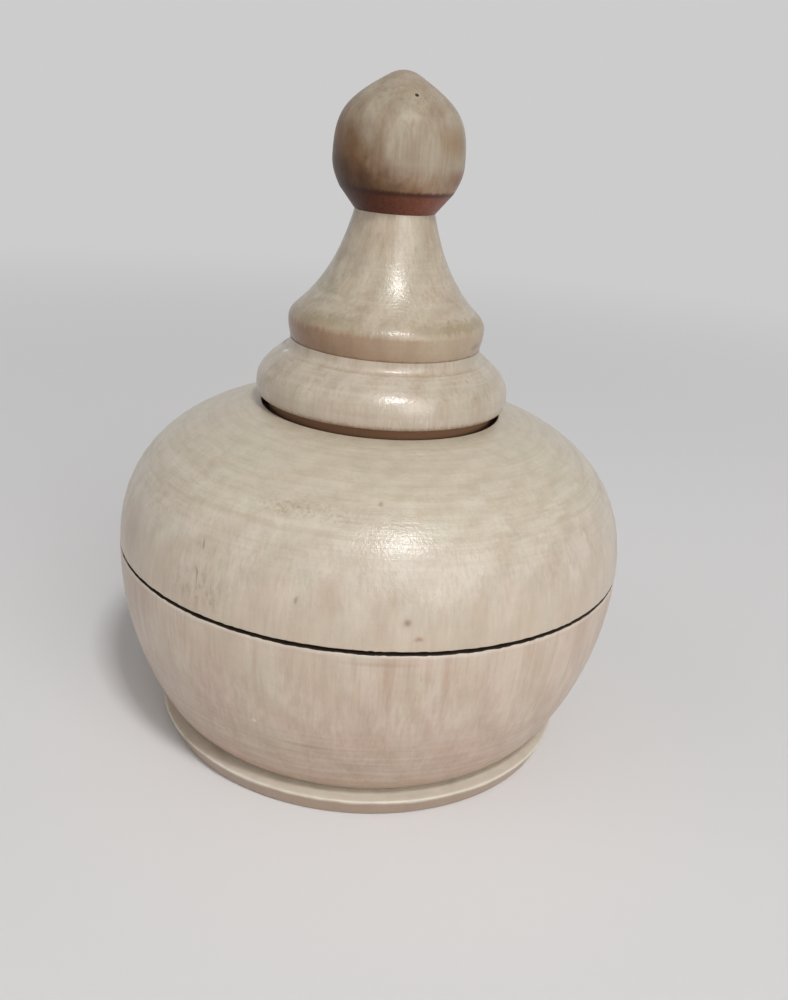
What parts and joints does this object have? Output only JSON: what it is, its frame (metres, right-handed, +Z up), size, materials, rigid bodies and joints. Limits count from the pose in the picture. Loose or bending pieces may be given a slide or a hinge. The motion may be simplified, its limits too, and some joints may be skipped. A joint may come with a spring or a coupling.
{
  "type": "kumkum box",
  "caption": "Round turned-wood kumkum box: a footed bowl with a lift-off domed lid, closed at the crown by a plug-in turned finial.",
  "frame": {"origin": "centre of the foot's underside, on the table", "axes": "+Z up along the turning axis, from the foot to the finial's point; X and Y lie in the table's plane"},
  "size_m": [0.0702, 0.0702, 0.0899],
  "materials": {
    "turned_wood_bowl": "satin lacquer, aged",
    "turned_wood_lid": "satin lacquer, aged",
    "turned_wood_collar": "satin lacquer, aged",
    "turned_wood_bell": "satin lacquer, aged",
    "turned_wood_ball": "satin lacquer, handled and darkened"
  },
  "bodies": {
    "bowl": {"bowl": "turned_wood_bowl"},
    "lid": {"lid": "turned_wood_lid"},
    "finial": {"finial_collar": "turned_wood_collar", "finial_bell": "turned_wood_bell", "finial_ball": "turned_wood_ball"}
  },
  "joints": [
    {"name": "lid_lift", "type": "slide", "parent": "bowl", "child": "lid", "axis": [0, 0, 1], "range_m": [0, 0.045]},
    {"name": "finial_lift", "type": "slide", "parent": "lid", "child": "finial", "axis": [0, 0, 1], "range_m": [0, 0.03]}
  ]
}
